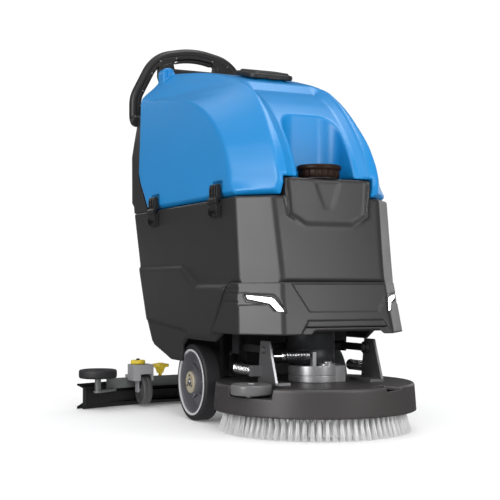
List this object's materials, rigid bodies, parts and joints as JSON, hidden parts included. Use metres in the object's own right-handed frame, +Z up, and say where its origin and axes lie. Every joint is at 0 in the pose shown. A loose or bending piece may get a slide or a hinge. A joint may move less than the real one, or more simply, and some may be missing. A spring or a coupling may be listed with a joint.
{
  "type": "walk-behind floor scrubber",
  "caption": "Walk-behind wet dry floor scrubber: disc brush deck under a grey solution tank, tilting blue recovery tank, rear squeegee on wheels, bow handle with control panel.",
  "frame": {"origin": "on the floor under the centre of the bounding box, between the drive wheels and the brush", "axes": "+Z up, -Y to the front where the brush is, +Y to the handle, +X to the right of someone who faces the machine's front"},
  "size_m": [0.818, 1.0565, 1.0931],
  "materials": {
    "blue_tank": "satin rotomoulded polyethylene",
    "grey_body": "satin rotomoulded polyethylene",
    "black_plastic": "fine texture",
    "deck_plastic": "satin",
    "lamp_white": "lit LED strip",
    "screen_glass": "dark display window",
    "button_grey": "satin",
    "steel_dark": "black coated steel",
    "steel_grey": "grey steel",
    "cast_alu": "cast",
    "fork_grey": "light grey",
    "hub_cream": "cream",
    "yellow_knob": "yellow",
    "tyre_rubber": "rubber",
    "blade_rubber": "rubber",
    "nylon": "white nylon filaments"
  },
  "bodies": {
    "chassis": {"chassis_frame": "steel_dark", "solution_tank": "grey_body", "rear_column": "grey_body", "drain_sockets": "black_plastic", "front_bumper": "grey_body", "lamp_housings": "black_plastic", "lamp_lenses": "lamp_white", "batteries": "black_plastic", "transaxle": "steel_dark", "control_panel": "black_plastic", "display_screen": "screen_glass", "handle_bow": "black_plastic", "latch_bases": "black_plastic", "tank_hinge_lower": "steel_dark", "filler_neck": "black_plastic"},
    "recovery_tank": {"recovery_tank": "blue_tank", "tank_hinge_upper": "steel_dark", "debris_basket": "black_plastic"},
    "tank_lid": {"tank_lid": "black_plastic"},
    "latch_front": {"latch_front": "black_plastic"},
    "latch_rear": {"latch_rear": "black_plastic"},
    "filler_cap": {"filler_cap": "black_plastic"},
    "deck_arms": {"lift_arms": "steel_dark"},
    "deck": {"deck_cover": "deck_plastic", "deck_brackets": "steel_grey", "gear_case": "cast_alu", "brush_motor": "steel_dark", "deck_springs": "steel_grey"},
    "brush": {"brush_disc": "deck_plastic", "bristles": "nylon"},
    "guide_roller": {"deck_roller": "deck_plastic"},
    "deck_pedal": {"deck_pedal": "black_plastic"},
    "squeegee_arm": {"squeegee_arm": "steel_dark"},
    "squeegee": {"squeegee_beam": "steel_grey", "squeegee_body": "black_plastic", "squeegee_blades": "blade_rubber", "wheel_forks": "fork_grey"},
    "presence_lever": {"presence_lever": "black_plastic"},
    "key_switch": {"key_switch": "steel_grey"},
    "button_1": {"panel_button_1": "button_grey"},
    "button_2": {"panel_button_2": "button_grey"},
    "flow_knob": {"flow_knob": "black_plastic"},
    "drive_wheel_right": {"tyre_right": "tyre_rubber", "rim_right": "fork_grey", "hub_cap_right": "hub_cream"},
    "caster_right": {"caster_fork_right": "steel_dark"},
    "caster_wheel_right": {"caster_wheel_right": "tyre_rubber"},
    "squeegee_wheel_right": {"squeegee_wheel_right": "tyre_rubber"},
    "end_roller_right": {"end_roller_right": "tyre_rubber"},
    "star_knob_right": {"star_knob_right": "yellow_knob"},
    "flat_knob_right": {"flat_knob_right": "yellow_knob"},
    "drive_wheel_left": {"tyre_left": "tyre_rubber", "rim_left": "fork_grey", "hub_cap_left": "hub_cream"},
    "caster_left": {"caster_fork_left": "steel_dark"},
    "caster_wheel_left": {"caster_wheel_left": "tyre_rubber"},
    "squeegee_wheel_left": {"squeegee_wheel_left": "tyre_rubber"},
    "end_roller_left": {"end_roller_left": "tyre_rubber"},
    "star_knob_left": {"star_knob_left": "yellow_knob"},
    "flat_knob_left": {"flat_knob_left": "yellow_knob"}
  },
  "joints": [
    {"name": "recovery_tank_tilt", "type": "hinge", "parent": "chassis", "child": "recovery_tank", "pos_m": [0.2235, 0.046, 0.5715], "axis": [0, 1, 0], "range_deg": [0, 85]},
    {"name": "tank_lid_open", "type": "hinge", "parent": "recovery_tank", "child": "tank_lid", "pos_m": [0, 0.06762, 0.94005], "axis": [-1, 0, 0], "range_deg": [0, 95]},
    {"name": "latch_front_open", "type": "hinge", "parent": "chassis", "child": "latch_front", "pos_m": [-0.222, -0.166, 0.542], "axis": [0, -1, 0], "range_deg": [0, 110]},
    {"name": "latch_rear_open", "type": "hinge", "parent": "chassis", "child": "latch_rear", "pos_m": [-0.222, 0.272, 0.542], "axis": [0, -1, 0], "range_deg": [0, 110]},
    {"name": "filler_cap_lift", "type": "slide", "parent": "chassis", "child": "filler_cap", "axis": [0, 0, 1], "range_m": [0, 0.06]},
    {"name": "deck_lift", "type": "hinge", "parent": "chassis", "child": "deck_arms", "pos_m": [0, -0.149, 0.2], "axis": [-1, 0, 0], "range_deg": [0, 12]},
    {"name": "deck_level", "type": "hinge", "parent": "deck_arms", "child": "deck", "pos_m": [0, -0.296, 0.2], "axis": [-1, 0, 0], "range_deg": [-12, 0]},
    {"name": "brush_spin", "type": "hinge", "parent": "deck", "child": "brush", "pos_m": [0, -0.279, 0.08], "axis": [0, 0, 1], "continuous": true},
    {"name": "guide_roller_spin", "type": "hinge", "parent": "deck", "child": "guide_roller", "pos_m": [-0.205, -0.344, 0.11], "axis": [0, 0, 1], "continuous": true},
    {"name": "deck_pedal_press", "type": "hinge", "parent": "chassis", "child": "deck_pedal", "pos_m": [0.161, 0.296, 0.178], "axis": [-1, 0, 0], "range_deg": [0, 18]},
    {"name": "squeegee_lift", "type": "hinge", "parent": "chassis", "child": "squeegee_arm", "pos_m": [0, 0.269, 0.165], "axis": [1, 0, 0], "range_deg": [0, 12]},
    {"name": "squeegee_swing", "type": "hinge", "parent": "squeegee_arm", "child": "squeegee", "pos_m": [0, 0.466, 0.075], "axis": [0, 0, 1], "range_deg": [-8, 8]},
    {"name": "presence_lever_squeeze", "type": "hinge", "parent": "chassis", "child": "presence_lever", "pos_m": [0, 0.518, 1.04681], "axis": [-1, 0, 0], "range_deg": [0, 7], "stiffness_Nm_per_rad": 0.4, "springref_deg": -5.73},
    {"name": "key_turn", "type": "hinge", "parent": "chassis", "child": "key_switch", "pos_m": [-0.046, 0.48343, 0.96757], "axis": [0, 0.7071, 0.7071], "range_deg": [0, 90]},
    {"name": "button_1_press", "type": "slide", "parent": "chassis", "child": "button_1", "axis": [0, -0.7071, -0.7071], "range_m": [0, 0.003], "stiffness_N_per_m": 150, "springref_m": -0.002},
    {"name": "button_2_press", "type": "slide", "parent": "chassis", "child": "button_2", "axis": [0, -0.7071, -0.7071], "range_m": [0, 0.003], "stiffness_N_per_m": 150, "springref_m": -0.002},
    {"name": "flow_knob_turn", "type": "hinge", "parent": "chassis", "child": "flow_knob", "pos_m": [0.038, 0.48343, 0.96757], "axis": [0, 0.7071, 0.7071], "range_deg": [0, 270]},
    {"name": "drive_wheel_right_roll", "type": "hinge", "parent": "chassis", "child": "drive_wheel_right", "pos_m": [-0.187, 0.015, 0.1007], "axis": [1, 0, 0], "continuous": true},
    {"name": "caster_right_swivel", "type": "hinge", "parent": "chassis", "child": "caster_right", "pos_m": [-0.1, 0.233, 0.098], "axis": [0, 0, 1], "continuous": true},
    {"name": "caster_right_roll", "type": "hinge", "parent": "caster_right", "child": "caster_wheel_right", "pos_m": [-0.1, 0.257, 0.04], "axis": [1, 0, 0], "continuous": true},
    {"name": "squeegee_wheel_right_roll", "type": "hinge", "parent": "squeegee", "child": "squeegee_wheel_right", "pos_m": [-0.207, 0.389, 0.049], "axis": [1, 0, 0], "continuous": true},
    {"name": "end_roller_right_spin", "type": "hinge", "parent": "squeegee", "child": "end_roller_right", "pos_m": [-0.3545, 0.366, 0.102], "axis": [0, 0, 1], "continuous": true},
    {"name": "star_knob_right_turn", "type": "hinge", "parent": "squeegee", "child": "star_knob_right", "pos_m": [-0.13, 0.45693, 0.075], "axis": [0, 0, 1], "continuous": true},
    {"name": "flat_knob_right_turn", "type": "hinge", "parent": "squeegee", "child": "flat_knob_right", "pos_m": [-0.222, 0.397, 0.118], "axis": [0, 0, 1], "continuous": true},
    {"name": "drive_wheel_left_roll", "type": "hinge", "parent": "chassis", "child": "drive_wheel_left", "pos_m": [0.187, 0.015, 0.1007], "axis": [1, 0, 0], "continuous": true},
    {"name": "caster_left_swivel", "type": "hinge", "parent": "chassis", "child": "caster_left", "pos_m": [0.1, 0.233, 0.098], "axis": [0, 0, 1], "continuous": true},
    {"name": "caster_left_roll", "type": "hinge", "parent": "caster_left", "child": "caster_wheel_left", "pos_m": [0.1, 0.257, 0.04], "axis": [1, 0, 0], "continuous": true},
    {"name": "squeegee_wheel_left_roll", "type": "hinge", "parent": "squeegee", "child": "squeegee_wheel_left", "pos_m": [0.207, 0.389, 0.049], "axis": [1, 0, 0], "continuous": true},
    {"name": "end_roller_left_spin", "type": "hinge", "parent": "squeegee", "child": "end_roller_left", "pos_m": [0.3545, 0.366, 0.102], "axis": [0, 0, 1], "continuous": true},
    {"name": "star_knob_left_turn", "type": "hinge", "parent": "squeegee", "child": "star_knob_left", "pos_m": [0.13, 0.45693, 0.075], "axis": [0, 0, 1], "continuous": true},
    {"name": "flat_knob_left_turn", "type": "hinge", "parent": "squeegee", "child": "flat_knob_left", "pos_m": [0.222, 0.397, 0.118], "axis": [0, 0, 1], "continuous": true}
  ],
  "couplings": [
    {"joint": "deck_level", "follows": "deck_lift", "ratio": -1},
    {"joint": "deck_pedal_press", "follows": "deck_lift", "ratio": 1.5}
  ]
}
